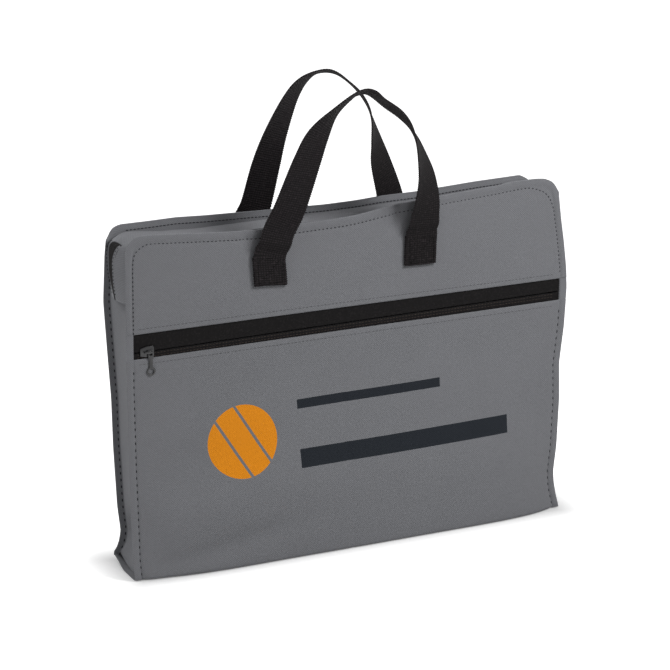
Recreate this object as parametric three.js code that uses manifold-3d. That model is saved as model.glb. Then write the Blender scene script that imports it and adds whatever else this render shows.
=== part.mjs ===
// A zipped document bag of non-woven fabric: a wrapped body sheet with side gussets, a zipped front pocket,
// a zipped top gusset and two webbing handles. Millimetres, +X right, -Y front, +Z up, z = 0 under the base.
import * as THREE from "three";
import { mergeVertices } from "three/addons/utils/BufferGeometryUtils.js";
import Module from "manifold-3d";

const wasm = await Module();
wasm.setup();

// Driving dimensions.
const BAG_WIDTH = 400; // across the side seam flanges
const BAG_DEPTH = 50;
const BAG_HEIGHT = 292;
const SHEET = 1; // body fabric
const GAP = 0.3; // between pieces that touch
const FLANGE = 8; // seam allowance that stands out at the sides
const BASE_FOLD_RADIUS = 4;
const TOP_CORNER_RADIUS = 18;

const POCKET_DROP = 103; // top edge down to the folded edge of the pocket sheet
const ZIP_BAND = 20; // black tape that shows above that edge
const ZIP_LINE_RISE = 7.5; // that edge up to the pocket zip's line
const POCKET_ROOM = 5.2; // between the pocket sheet and the lining
const TAPE_LAP = 8; // tape sewn behind the fabric

const HEM = 11; // top edge down to the crease of the zip strips
const VALLEY = 3.5; // crease down to the closed zip
const ZIP_LINE_WIDTH = 15.4; // both main tapes together
const STRIP_DROP = 55.7; // how far the zip runs down each side
const FLAP_HALF = 119; // half length of the stretch that folds open
const CORNER_RUN = 14; // rounding of the zip over each end

const TAPE = 0.5;
const TAPE_SPLIT = 0.65; // zip line to tape edge
const COIL_RADIUS = 1;
const COIL_SETTING = 1.9; // zip line to coil centre

const SLIDER_LENGTH = 12;
const SLIDER_WIDTH = 9;
const PLATE = 0.9;
const POST = 0.6;
const ARCH_SPAN = 5.2;
const ARCH_LEG = 1;
const ARCH_WIDTH = 1.6;
const ARCH_ROOM = 2.1;
const PULL_WIDTH = 4.8;
const PULL_LENGTH = 20;
const PULL_EYE_WIDTH = 2.6;
const PULL_EYE_LENGTH = 3.8;
const RING_RADIUS = 3.8;
const RING_HOLE = 2.4;
const MAIN_SLIDER_X = 172;
const POCKET_SLIDER_X = -184;

const WEBBING = 30;
const WEBBING_THICKNESS = 1.5;
const HANDLE_SPACING = 140; // leg centre to leg centre
const HANDLE_CENTRE_X = -5;
const HANDLE_RISE = 132; // above its stitch line
const TAB_HEIGHT = 33;
const TAB_BELOW_EDGE = 22.5;
const FRONT_LEAN = THREE.MathUtils.degToRad(14);
const LOOP_STEPS = 40;

// Sizes that follow from them.
const frontFace = -BAG_DEPTH / 2;
const halfWidth = BAG_WIDTH / 2;
const seamX = halfWidth - FLANGE;
const pocketTop = BAG_HEIGHT - POCKET_DROP;
const zipBandTop = pocketTop + ZIP_BAND;
const pocketZipLine = pocketTop + ZIP_LINE_RISE;
const liningFace = frontFace + SHEET + POCKET_ROOM;
const creaseY = BAG_DEPTH / 2 - SHEET - GAP - SHEET / 2;
const creaseZ = BAG_HEIGHT - HEM;
const zipZ = creaseZ - VALLEY;
const tapeOuterY = ZIP_LINE_WIDTH / 2;
const stripEndZ = BAG_HEIGHT - STRIP_DROP;
const gussetTop = stripEndZ - GAP;
const coilDepth = TAPE / 2 + GAP + COIL_RADIUS;
const tabTop = BAG_HEIGHT - TAB_BELOW_EDGE;
const tabFace = BAG_DEPTH / 2 + GAP + WEBBING_THICKNESS;
const pivotY = tabFace + GAP + WEBBING_THICKNESS / 2;
const pivotZ = tabTop - 1;

const grey = { color: 0x747579, roughness: 0.9, metalness: 0 };
const liningGrey = { color: 0x6a6a6f, roughness: 0.92, metalness: 0 };
const tapeBlack = { color: 0x1e1d1f, roughness: 0.85, metalness: 0 };
const coilBlack = { color: 0x232124, roughness: 0.45, metalness: 0 };
const sliderBlack = { color: 0x141414, roughness: 0.35, metalness: 0.4 };
const webbingBlack = { color: 0x1c1a1d, roughness: 0.8, metalness: 0 };

const bag = new THREE.Group();

function add(name, geometry, look) {
  const mesh = new THREE.Mesh(geometry, new THREE.MeshStandardMaterial(look));
  mesh.name = name;
  bag.add(mesh);
  return mesh;
}

// Booleans.
function solid(geometry) {
  const bare = geometry.clone();
  bare.deleteAttribute("normal");
  bare.deleteAttribute("uv");
  const merged = mergeVertices(bare, 1e-4);
  const vertProperties = new Float32Array(merged.attributes.position.array);
  const triVerts = new Uint32Array(merged.index.array);
  return new wasm.Manifold(new wasm.Mesh({ numProp: 3, vertProperties, triVerts }));
}

function geometryOf(manifold) {
  const mesh = manifold.getMesh();
  const geometry = new THREE.BufferGeometry();
  geometry.setAttribute("position", new THREE.BufferAttribute(mesh.vertProperties, 3));
  geometry.setIndex(new THREE.BufferAttribute(mesh.triVerts, 1));
  return geometry;
}

function box(x0, x1, y0, y1, z0, z1) {
  const geometry = new THREE.BoxGeometry(x1 - x0, y1 - y0, z1 - z0);
  return geometry.translate((x0 + x1) / 2, (y0 + y1) / 2, (z0 + z1) / 2);
}

// A shape drawn in x and z, extruded from y0 to y1.
function plateXZ(shape, y0, y1, curveSegments = 6) {
  const geometry = new THREE.ExtrudeGeometry(shape, { depth: y1 - y0, bevelEnabled: false, curveSegments });
  return geometry.rotateX(Math.PI / 2).translate(0, y1, 0);
}

// A thin sheet ruled between two edges: a flat box bent so that its long sides lie on them.
function ruledSheet(edgeA, edgeB, thickness, steps) {
  const geometry = new THREE.BoxGeometry(1, 1, 1, steps, 1, 1);
  const position = geometry.attributes.position;
  const small = 1e-3;
  for (let i = 0; i < position.count; i++) {
    const u = position.getX(i) + 0.5;
    const v = position.getY(i) + 0.5;
    const across = edgeB(u).sub(edgeA(u));
    const ahead = edgeA(Math.min(u + small, 1)).add(edgeB(Math.min(u + small, 1)));
    const behind = edgeA(Math.max(u - small, 0)).add(edgeB(Math.max(u - small, 0)));
    const normal = ahead.sub(behind).cross(across).normalize();
    const point = edgeA(u).addScaledVector(across, v).addScaledVector(normal, position.getZ(i) * thickness);
    position.setXYZ(i, point.x, point.y, point.z);
  }
  return facingOut(geometry);
}

function facingOut(geometry) {
  const position = geometry.attributes.position;
  const index = geometry.index;
  const corner = (i) => new THREE.Vector3().fromBufferAttribute(position, index.getX(i));
  let volume = 0;
  for (let i = 0; i < index.count; i += 3) {
    volume += corner(i).dot(corner(i + 1).cross(corner(i + 2)));
  }
  if (volume < 0) {
    for (let i = 0; i < index.count; i += 3) {
      const first = index.getX(i);
      index.setX(i, index.getX(i + 1));
      index.setX(i + 1, first);
    }
  }
  return geometry;
}

// The bag's face: square at the bottom, rounded at the two top corners.
function faceShape(halfX, bottom, top, radius) {
  const shape = new THREE.Shape();
  shape.moveTo(-halfX, bottom);
  shape.lineTo(halfX, bottom);
  shape.lineTo(halfX, top - radius);
  shape.absarc(halfX - radius, top - radius, radius, 0, Math.PI / 2);
  shape.lineTo(-halfX + radius, top);
  shape.absarc(-halfX + radius, top - radius, radius, Math.PI / 2, Math.PI);
  shape.closePath();
  return shape;
}

// Body sheet: pocket front, base and back in one piece, folded under the bag.
function bodyWrap() {
  const half = BAG_DEPTH / 2;
  const outer = BASE_FOLD_RADIUS;
  const inner = BASE_FOLD_RADIUS - SHEET;
  const profile = new THREE.Shape();
  profile.moveTo(-half, pocketTop);
  profile.lineTo(-half, outer);
  profile.absarc(-half + outer, outer, outer, Math.PI, Math.PI * 1.5);
  profile.lineTo(half - outer, 0);
  profile.absarc(half - outer, outer, outer, Math.PI * 1.5, Math.PI * 2);
  profile.lineTo(half, BAG_HEIGHT);
  profile.lineTo(half - SHEET, BAG_HEIGHT);
  profile.lineTo(half - SHEET, outer);
  profile.absarc(half - outer, outer, inner, 0, -Math.PI / 2, true);
  profile.lineTo(-half + outer, SHEET);
  profile.absarc(-half + outer, outer, inner, -Math.PI / 2, -Math.PI, true);
  profile.lineTo(-half + SHEET, pocketTop);
  profile.closePath();
  const sheet = new THREE.ExtrudeGeometry(profile, { depth: BAG_WIDTH, bevelEnabled: false, curveSegments: 4 });
  // The profile's x and y become the bag's y and z.
  sheet.applyMatrix4(new THREE.Matrix4().set(0, 0, 1, -halfWidth, 1, 0, 0, 0, 0, 1, 0, 0, 0, 0, 0, 1));
  const face = plateXZ(faceShape(halfWidth, -1, BAG_HEIGHT, TOP_CORNER_RADIUS), -BAG_DEPTH, BAG_DEPTH);
  return geometryOf(solid(sheet).intersect(solid(face)));
}
add("body_wrap", bodyWrap(), grey);

// Front yoke: the front above the pocket zip.
const yokeShape = faceShape(halfWidth, zipBandTop, BAG_HEIGHT, TOP_CORNER_RADIUS);
add("front_yoke", plateXZ(yokeShape, frontFace, frontFace + SHEET), grey);

// Pocket lining: back wall of the pocket. It stands on the base and leans forward to the yoke at the top.
function pocketLining() {
  const bottom = SHEET + GAP;
  const bendZ = creaseZ - 26;
  const topZ = creaseZ - 3;
  const topY = frontFace + SHEET + GAP;
  const profile = new THREE.Shape();
  profile.moveTo(liningFace, bottom);
  profile.lineTo(liningFace + SHEET, bottom);
  profile.lineTo(liningFace + SHEET, bendZ);
  profile.lineTo(topY + SHEET, topZ);
  profile.lineTo(topY, topZ);
  profile.lineTo(liningFace, bendZ);
  profile.closePath();
  const half = seamX - SHEET - 2 * GAP;
  const sheet = new THREE.ExtrudeGeometry(profile, { depth: 2 * half, bevelEnabled: false });
  sheet.applyMatrix4(new THREE.Matrix4().set(0, 0, 1, -half, 1, 0, 0, 0, 0, 1, 0, 0, 0, 0, 0, 1));
  const face = plateXZ(faceShape(half, 0, topZ, CORNER_RUN + FLANGE), -BAG_DEPTH, BAG_DEPTH);
  return geometryOf(solid(sheet).intersect(solid(face)));
}
add("pocket_lining", pocketLining(), liningGrey);

// Side gussets: a web between front and back whose edges turn outwards along the body sheet.
function gusset(side) {
  const halfY = BAG_DEPTH / 2 - SHEET - GAP;
  const edge = FLANGE - 2 * GAP;
  const outline = new THREE.Shape();
  outline.moveTo(0, -halfY);
  outline.lineTo(edge, -halfY);
  outline.lineTo(edge, -halfY + SHEET);
  outline.lineTo(SHEET, -halfY + SHEET);
  outline.lineTo(SHEET, halfY - SHEET);
  outline.lineTo(edge, halfY - SHEET);
  outline.lineTo(edge, halfY);
  outline.lineTo(0, halfY);
  outline.closePath();
  const bottom = BASE_FOLD_RADIUS;
  const wall = new THREE.ExtrudeGeometry(outline, { depth: gussetTop - bottom, bevelEnabled: false });
  wall.translate(0, 0, bottom);
  const footY = BAG_DEPTH / 2 - BASE_FOLD_RADIUS;
  const foot = box(0, edge, -footY, footY, SHEET + GAP, 2 * SHEET + GAP);
  const riser = box(0, SHEET, -footY, footY, SHEET + GAP, bottom + SHEET);
  const joined = geometryOf(solid(wall).add(solid(foot)).add(solid(riser)));
  if (side < 0) joined.rotateZ(Math.PI);
  return joined.translate(side * (seamX + GAP), 0, 0);
}
add("left_gusset", gusset(-1), grey);
add("right_gusset", gusset(1), grey);

// Zip strips, tapes and coils of the top. Each runs along a rail: straight over the top, round the end and
// down the side. `sink` is how far inside the tape's surface the rail lies.
function rail(side, y, topZ, sink, fromX) {
  const straightEnd = seamX - CORNER_RUN;
  const endX = seamX - SHEET / 2 - sink;
  const turnZ = topZ - CORNER_RUN - sink;
  const points = [];
  const add3 = (x, z) => points.push(new THREE.Vector3(side * x, y, z));
  add3(fromX, topZ - sink);
  add3((fromX + straightEnd) / 2, topZ - sink);
  add3(straightEnd - 6, topZ - sink);
  add3(straightEnd, topZ - sink);
  for (const turn of [30, 60]) {
    const angle = THREE.MathUtils.degToRad(turn);
    const x = straightEnd + (endX - straightEnd) * Math.sin(angle);
    add3(x, turnZ + (topZ - sink - turnZ) * Math.cos(angle));
  }
  add3(endX, turnZ);
  add3(endX, turnZ - 6);
  add3(endX, stripEndZ);
  return new THREE.CatmullRomCurve3(points, false, "catmullrom", 0.5);
}

const coilSection = new THREE.Shape();
coilSection.absarc(0, 0, COIL_RADIUS, 0, Math.PI * 2);

function topZipSide(face, label) {
  const stripY = tapeOuterY + GAP;
  const level = (y, z) => (u) => new THREE.Vector3(FLAP_HALF * (2 * u - 1), face * y, z);
  add(`${label}_zip_strip`, ruledSheet(level(creaseY, creaseZ), level(stripY, zipZ), SHEET, 1), grey);
  add(`${label}_zip_tape`, ruledSheet(level(tapeOuterY - SHEET / 2, zipZ), level(TAPE_SPLIT, zipZ), TAPE, 1), tapeBlack);
  const coil = new THREE.CylinderGeometry(COIL_RADIUS, COIL_RADIUS, 2 * FLAP_HALF, 6);
  coil.rotateZ(Math.PI / 2).translate(0, face * COIL_SETTING, zipZ - coilDepth);
  add(`${label}_zip_coil`, coil, coilBlack);
  const from = FLAP_HALF + GAP;
  for (const [side, end] of [[-1, "left"], [1, "right"]]) {
    const along = (y, z, sink) => {
      const curve = rail(side, face * y, z, sink, from);
      return (u) => curve.getPoint(u);
    };
    const strip = ruledSheet(along(creaseY, creaseZ, 0), along(stripY, zipZ, 0), SHEET, 24);
    add(`${label}_zip_strip_${end}_end`, strip, grey);
    const tape = ruledSheet(along(tapeOuterY - SHEET / 2, zipZ, 0), along(TAPE_SPLIT, zipZ, 0), TAPE, 24);
    add(`${label}_zip_tape_${end}_end`, tape, tapeBlack);
    const path = rail(side, face * COIL_SETTING, zipZ, coilDepth, from);
    const options = { steps: 24, bevelEnabled: false, extrudePath: path, curveSegments: 6 };
    add(`${label}_zip_coil_${end}_end`, new THREE.ExtrudeGeometry(coilSection, options), coilBlack);
  }
}
topZipSide(-1, "front");
topZipSide(1, "back");

// Pocket zip: the tapes lie behind the folded fabric edges, with their coils on the inner side.
const tapeY = frontFace + SHEET + GAP;
const pocketHalf = seamX - 2 * GAP;
const upperFrom = pocketZipLine + TAPE_SPLIT;
const lowerTo = pocketZipLine - TAPE_SPLIT;
const upperTape = box(-pocketHalf, pocketHalf, tapeY, tapeY + TAPE, upperFrom, zipBandTop + TAPE_LAP);
const lowerTape = box(-pocketHalf, pocketHalf, tapeY, tapeY + TAPE, pocketTop - TAPE_LAP, lowerTo);
add("pocket_zip_tape_upper", upperTape, tapeBlack);
add("pocket_zip_tape_lower", lowerTape, tapeBlack);
for (const [sign, name] of [[1, "upper"], [-1, "lower"]]) {
  const coil = new THREE.CylinderGeometry(COIL_RADIUS, COIL_RADIUS, 2 * pocketHalf, 6);
  coil.rotateZ(Math.PI / 2);
  coil.translate(0, tapeY + TAPE / 2 + coilDepth, pocketZipLine + sign * COIL_SETTING);
  add(`pocket_zip_coil_${name}`, coil, coilBlack);
}

// Slider: two plates round the coils, joined by a post between them, with an arch that holds the pull.
// Its own frame: x along the zip, y across it, z out of the tape, zero on the tape's middle.
const plateUnder = TAPE / 2 + GAP;
const plateTop = plateUnder + PLATE;
const lowerTop = -coilDepth - COIL_RADIUS - GAP;

function sliderPlate(bottom) {
  const shape = new THREE.Shape();
  const nose = SLIDER_LENGTH / 2;
  const wide = SLIDER_WIDTH / 2;
  const narrow = wide * 0.7;
  shape.moveTo(nose, -wide + 1);
  shape.lineTo(nose, wide - 1);
  shape.lineTo(nose - 1, wide);
  shape.lineTo(0, wide);
  shape.lineTo(-nose, narrow);
  shape.lineTo(-nose, -narrow);
  shape.lineTo(0, -wide);
  shape.lineTo(nose - 1, -wide);
  shape.closePath();
  return new THREE.ExtrudeGeometry(shape, { depth: PLATE, bevelEnabled: false }).translate(0, 0, bottom);
}

function slider() {
  const archTop = plateTop + ARCH_ROOM + PLATE;
  const half = ARCH_SPAN / 2;
  const bury = 0.2;
  const parts = [
    sliderPlate(lowerTop - PLATE),
    box(0, SLIDER_LENGTH / 2 - 1, -POST / 2, POST / 2, lowerTop - bury, plateUnder + bury),
    box(half - ARCH_LEG / 2, half + ARCH_LEG / 2, -ARCH_LEG / 2, ARCH_LEG / 2, plateTop - bury, archTop),
    box(-half - ARCH_LEG / 2, -half + ARCH_LEG / 2, -ARCH_LEG / 2, ARCH_LEG / 2, plateTop - bury, archTop),
    box(-half - ARCH_LEG / 2, half + ARCH_LEG / 2, -ARCH_WIDTH / 2, ARCH_WIDTH / 2, archTop - PLATE, archTop),
  ];
  let body = solid(sliderPlate(plateUnder));
  for (const part of parts) body = body.add(solid(part));
  return geometryOf(body);
}

// Pull: a stamped link with a slot for the arch and a ring at its free end, running towards -x from its slot.
function pull() {
  const half = PULL_WIDTH / 2;
  const shape = new THREE.Shape();
  const ringX = -PULL_LENGTH + RING_RADIUS;
  const neck = 1.6;
  const meet = Math.asin(neck / RING_RADIUS);
  shape.moveTo(half - 0.4, -half);
  shape.lineTo(half - 0.4, half);
  shape.lineTo(-PULL_EYE_LENGTH - 1, half);
  shape.lineTo(-PULL_EYE_LENGTH - 2.5, neck);
  shape.lineTo(ringX + RING_RADIUS * Math.cos(meet), neck);
  shape.absarc(ringX, 0, RING_RADIUS, meet, 2 * Math.PI - meet);
  shape.lineTo(-PULL_EYE_LENGTH - 2.5, -neck);
  shape.lineTo(-PULL_EYE_LENGTH - 1, -half);
  shape.closePath();
  const eye = new THREE.Path();
  const eyeHalf = PULL_EYE_WIDTH / 2;
  const eyeEnd = half - 0.4 - PLATE;
  eye.moveTo(eyeEnd, -eyeHalf);
  eye.lineTo(eyeEnd - PULL_EYE_LENGTH, -eyeHalf);
  eye.lineTo(eyeEnd - PULL_EYE_LENGTH, eyeHalf);
  eye.lineTo(eyeEnd, eyeHalf);
  eye.closePath();
  const ring = new THREE.Path();
  ring.absarc(ringX, 0, RING_HOLE, 0, Math.PI * 2, true);
  shape.holes.push(eye, ring);
  const options = { depth: PLATE, bevelEnabled: false, curveSegments: 8 };
  return new THREE.ExtrudeGeometry(shape, options).translate(0, 0, -PLATE / 2);
}

const pullZ = plateTop + ARCH_ROOM / 2;
const mainZip = new THREE.Group();
mainZip.position.set(MAIN_SLIDER_X, 0, zipZ);
bag.add(mainZip);
mainZip.add(add("main_slider", slider(), sliderBlack));
// The slot's closed end passes under the arch.
const mainPull = add("main_pull", pull(), sliderBlack);
mainPull.position.set(-(PULL_WIDTH / 2 - 0.4 - PLATE / 2), 0, pullZ);
mainZip.add(mainPull);

const pocketZip = new THREE.Group();
pocketZip.position.set(POCKET_SLIDER_X, tapeY + TAPE / 2, pocketZipLine);
pocketZip.rotation.x = Math.PI / 2;
bag.add(pocketZip);
pocketZip.add(add("pocket_slider", slider(), sliderBlack));
// Here the slot hangs on the arch's leading leg.
const pocketPull = add("pocket_pull", pull(), sliderBlack);
pocketPull.rotation.z = Math.PI / 2;
pocketPull.position.set(ARCH_SPAN / 2, -(PULL_WIDTH / 2 - 0.4 - PLATE - ARCH_LEG / 2 - GAP), pullZ);
pocketZip.add(pocketPull);

// Handles: sewn webbing tabs on the front and back, and the free loop above them.
function handleLoop() {
  const rise = (angle) => HANDLE_RISE * Math.sin(angle) ** 1.25;
  const run = (angle) => (-HANDLE_SPACING / 2) * Math.sign(Math.cos(angle)) * Math.abs(Math.cos(angle)) ** 1.29;
  const centre = (u) => new THREE.Vector3(run(Math.PI * u), 0, rise(Math.PI * Math.min(Math.max(u, 0), 1)));
  const small = 1e-3;
  const inward = new THREE.Vector3(0, 1, 0);
  const edge = (sign) => (u) => {
    const ahead = centre(Math.min(u + small, 1));
    const along = ahead.sub(centre(Math.max(u - small, 0))).normalize();
    const flat = along.cross(inward);
    const turn = (Math.PI / 2) * (u < 0.5 ? smooth(u * 2) : 2 - smooth(2 - u * 2));
    const reach = flat.multiplyScalar(Math.cos(turn)).addScaledVector(inward, Math.sin(turn));
    return centre(u).addScaledVector(reach, (sign * WEBBING) / 2);
  };
  return ruledSheet(edge(-1), edge(1), WEBBING_THICKNESS, LOOP_STEPS);
}

// Stays near 0, then turns to 1 towards the top of the loop.
function smooth(t) {
  return t * t * (3 - 2 * t);
}

for (const [face, label, lean] of [[-1, "front", FRONT_LEAN], [1, "back", 0]]) {
  const loop = add(`${label}_handle`, handleLoop(), webbingBlack);
  loop.rotation.x = lean;
  loop.position.set(HANDLE_CENTRE_X, face * pivotY, pivotZ);
  for (const [side, end] of [[-1, "left"], [1, "right"]]) {
    const x = HANDLE_CENTRE_X + (side * HANDLE_SPACING) / 2;
    const y = face * (tabFace - WEBBING_THICKNESS / 2);
    const tab = new THREE.BoxGeometry(WEBBING, WEBBING_THICKNESS, TAB_HEIGHT);
    tab.translate(x, y, tabTop - TAB_HEIGHT / 2);
    add(`${label}_tab_${end}`, tab, webbingBlack);
  }
}

export default bag;
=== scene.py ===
import math

import bpy
import numpy as np
from mathutils import Matrix, Vector


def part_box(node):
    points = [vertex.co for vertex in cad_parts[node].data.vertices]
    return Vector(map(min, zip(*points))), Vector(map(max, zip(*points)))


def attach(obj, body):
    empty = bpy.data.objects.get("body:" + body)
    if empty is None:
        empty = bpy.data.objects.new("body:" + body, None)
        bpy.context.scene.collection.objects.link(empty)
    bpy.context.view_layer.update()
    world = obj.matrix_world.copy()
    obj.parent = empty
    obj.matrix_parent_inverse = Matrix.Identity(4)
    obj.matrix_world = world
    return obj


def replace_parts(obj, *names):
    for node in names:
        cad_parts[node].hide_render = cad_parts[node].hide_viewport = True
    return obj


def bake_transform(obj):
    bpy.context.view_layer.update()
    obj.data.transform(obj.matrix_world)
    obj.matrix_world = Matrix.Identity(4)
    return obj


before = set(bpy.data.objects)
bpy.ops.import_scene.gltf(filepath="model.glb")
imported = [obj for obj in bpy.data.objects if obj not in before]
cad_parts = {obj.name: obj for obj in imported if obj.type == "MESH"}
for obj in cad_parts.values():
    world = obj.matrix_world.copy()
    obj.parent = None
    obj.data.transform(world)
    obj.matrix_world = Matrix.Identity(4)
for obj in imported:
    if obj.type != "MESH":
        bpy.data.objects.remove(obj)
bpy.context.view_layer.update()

# Studio. A long lens looks down a little on the bag from its front left. A pale floor runs back into a white
# room. One lamp at the upper right, a wider one far to the left and a small one above it light the bag.
VIEW_TURN, VIEW_RISE, VIEW_ROLL = math.radians(-25.49), math.radians(17.28), math.radians(-0.63)
VIEW_DISTANCE = 2.86
view_back = Vector((math.sin(VIEW_TURN) * math.cos(VIEW_RISE), -math.cos(VIEW_TURN) * math.cos(VIEW_RISE),
                    math.sin(VIEW_RISE)))
level = Vector((math.cos(VIEW_TURN), math.sin(VIEW_TURN), 0))
upward = view_back.cross(level)
view_right = level * math.cos(VIEW_ROLL) + upward * math.sin(VIEW_ROLL)
view_up = -level * math.sin(VIEW_ROLL) + upward * math.cos(VIEW_ROLL)
lens = bpy.data.cameras.new("camera")
lens.sensor_width = 36
lens.lens = 181.77
lens.shift_x, lens.shift_y = -0.0053731, 0.0483582
lens.clip_end = 50
camera = bpy.data.objects.new("camera", lens)
turn = Matrix((view_right, view_up, view_back)).transposed().to_4x4()
camera.matrix_world = Matrix.Translation(Vector((0, 0, 0.15)) + view_back * VIEW_DISTANCE) @ turn
bpy.context.scene.collection.objects.link(camera)
bpy.context.scene.camera = camera
bpy.context.scene.view_settings.view_transform = "Standard"


def lamp(name, place, target, size, watts, tint=(1, 1, 1)):
    light = bpy.data.lights.new(name, "AREA")
    light.shape, light.size, light.energy, light.color = "DISK", size, watts, tint
    holder = bpy.data.objects.new(name, light)
    holder.location = place
    holder.rotation_euler = (Vector(target) - Vector(place)).to_track_quat("-Z", "Y").to_euler()
    bpy.context.scene.collection.objects.link(holder)


lamp("key_lamp", (0.40, -0.68, 0.92), (0.05, 0, 0.2), 0.4, 7.6)
lamp("fill_lamp", (-1.7, -0.45, 0.7), (0, 0, 0.15), 1.0, 5.0)
lamp("top_lamp", (-0.7, 0.15, 1.15), (-0.1, 0, 0.28), 0.5, 4.2)


def surface(name):
    """A new node material, with its nodes, its links and its main shader."""
    material = bpy.data.materials.new(name)
    material.use_nodes = True
    nodes, links = material.node_tree.nodes, material.node_tree.links
    return material, nodes, links, nodes["Principled BSDF"]


def white_to_camera(nodes, links, shader, output, strength):
    """Adds plain white for camera and glossy rays over what the shader gives."""
    rays = nodes.new("ShaderNodeLightPath")
    either = nodes.new("ShaderNodeMath")
    either.operation = "MAXIMUM"
    links.new(rays.outputs["Is Camera Ray"], either.inputs[0])
    links.new(rays.outputs["Is Glossy Ray"], either.inputs[1])
    glow = nodes.new("ShaderNodeEmission")
    level_up = nodes.new("ShaderNodeMath")
    level_up.operation = "MULTIPLY"
    if isinstance(strength, float):
        level_up.inputs[1].default_value = strength
    else:
        links.new(strength, level_up.inputs[1])
    links.new(either.outputs[0], level_up.inputs[0])
    links.new(level_up.outputs[0], glow.inputs["Strength"])
    both = nodes.new("ShaderNodeAddShader")
    links.new(shader, both.inputs[0])
    links.new(glow.outputs[0], both.inputs[1])
    links.new(both.outputs[0], output)


world = bpy.data.worlds.new("room")
world.use_nodes = True
bpy.context.scene.world = world
room_light = world.node_tree.nodes["Background"]
room_light.inputs["Color"].default_value = (1, 1, 1, 1)
room_light.inputs["Strength"].default_value = 0.2
white_to_camera(world.node_tree.nodes, world.node_tree.links, room_light.outputs[0],
                world.node_tree.nodes["World Output"].inputs["Surface"], 0.8)

bpy.ops.object.select_all(action="DESELECT")
bpy.ops.mesh.primitive_plane_add(size=14, location=(0, 0, 0))
floor = bpy.context.object
floor.name = "floor"
floor_paint, nodes, links, shader = surface("pale_floor")
shader.inputs["Base Color"].default_value = (0.8, 0.8, 0.8, 1)
shader.inputs["Roughness"].default_value = 0.9
place = nodes.new("ShaderNodeTexCoord").outputs["Object"]
# Distance from the bag's footprint: the white glow fades out close to it, so the floor there is left grey as a
# painted shadow round the bag.
for operation, value in (("ABSOLUTE", None), ("SUBTRACT", (0.195, 0.03, 0)), ("MAXIMUM", (0, 0, 0)),
                         ("LENGTH", None)):
    step = nodes.new("ShaderNodeVectorMath")
    step.operation = operation
    links.new(place, step.inputs[0])
    if value:
        step.inputs[1].default_value = value
    place = step.outputs["Value" if operation == "LENGTH" else "Vector"]
painted_shadow_fade = nodes.new("ShaderNodeMapRange")
painted_shadow_fade.inputs["From Min"].default_value, painted_shadow_fade.inputs["From Max"].default_value = 0.0, 0.045
painted_shadow_fade.inputs["To Min"].default_value, painted_shadow_fade.inputs["To Max"].default_value = 0.12, 1.0
links.new(place, painted_shadow_fade.inputs["Value"])
white_to_camera(nodes, links, shader.outputs[0], nodes["Material Output"].inputs["Surface"], painted_shadow_fade.outputs[0])
floor.data.materials.append(floor_paint)

# Body sheet: pocket front, base and back are one length of grey non-woven polypropylene, folded under the
# bag without a seam. Its raw side edges stand out as sewn flanges, and its two ends are turned in and hemmed.
MM = 0.001
SHEET = 0.7             # cloth thickness
TURN_IN = 0.9           # radius of a folded edge
FLANGE_STITCH = 6.0     # sewn line in from the cut edge
HEM_STITCH = 7.5        # sewn line down from the top edge
POCKET_EDGE = 189.0     # height of the pocket's upper edge
BAND_TOP = 209.0        # height of the yoke's lower edge
HALF = 200.0            # half the width of the flat cloth
BASE_FOLD = 4           # radius of the folds in front of and behind the base
FOOT = 4.2              # height where the front and the back start
BACK_START = -58        # place along the cloth where the back starts
PATTERN_UNIT = 100      # millimetres of cloth to one unit of its pattern
LATTICE_PITCH = 1.9


def line_through(points, soften=9):
    """A smooth height along the given points."""
    at, value = zip(*sorted(points))
    dense = np.linspace(at[0], at[-1], 400)
    window = np.hanning(soften + 2)[1:-1]
    padded = np.pad(np.interp(dense, at, value), soften // 2, "edge")
    smooth = np.convolve(padded, window / window.sum(), "valid")
    return lambda t: np.interp(t, dense, smooth)


def ease(t):
    t = np.clip(t, 0, 1)
    return t * t * (3 - 2 * t)


front_left_edge = line_through([(0, -200.4), (17, -202), (98, -202.8), (167, -202.6), (218, -201.7), (285, -200)])
front_right_edge = line_through([(0, 199.9), (12, 196.8), (24, 194.6), (35, 194), (57, 197), (100, 199.6),
                                 (133, 199.4), (165, 203.8), (200, 206.4), (218, 205.4), (240, 203.2),
                                 (262, 200.4), (283, 198.4)])
back_left_edge = line_through([(0, -199.6), (8, -199.2), (18, -194.6), (28, -192.6), (50, -195), (103, -197),
                               (145, -197.4), (187, -199.6), (229, -201.7), (269, -199.5), (285, -197.5)])
back_right_edge = line_through([(0, 199), (30, 195), (90, 198), (190, 203), (285, 199)])
front_top = line_through([(-200, 282), (-198, 287.5), (-191, 294), (-178, 293.8), (-112, 288.2), (-88, 286.4),
                          (-8, 287), (6, 287.6), (30, 290.6), (59, 293.4), (141, 297.4), (161, 298.8),
                          (177, 298.6), (186, 297.7), (192.5, 295), (197, 290.6), (200, 284)], 5)
back_top = line_through([(-200, 280), (-198, 286.5), (-194, 291), (-188, 292.8), (-163, 292.6), (-136, 292.7),
                         (-109, 291.1), (0, 287.1), (28, 287.2), (51, 288.2), (86, 288.1), (143, 290.1),
                         (172, 290.4), (187, 290.6), (195, 286), (200, 278)], 5)
band_top = line_through([(-200, BAND_TOP + 3.2), (0, BAND_TOP + 1.2), (200, BAND_TOP - 1)])
pocket_top = line_through([(-200, POCKET_EDGE + 2.2), (0, POCKET_EDGE + 1.4), (200, POCKET_EDGE)])


def spread(x, z, left, right):
    """Moves a point of the flat pattern sideways to where the bowed seam edges take it."""
    pull = ease((np.abs(x) - 110) / 90)
    return x + pull * np.where(x < 0, left(z) + HALF, right(z) - HALF)


def band_relief(depth, stitch):
    """A sewn edge: the doubled band swells outside its stitches, and the stitches pull a groove."""
    band = np.where(depth < stitch, 0.55 * np.sin(np.pi * np.clip(depth / stitch, 0, 1)), 0)
    return band - 0.55 * np.exp(-((depth - stitch) / 0.9) ** 2) + 0.3 * ease((depth - stitch) / 6)


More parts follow.
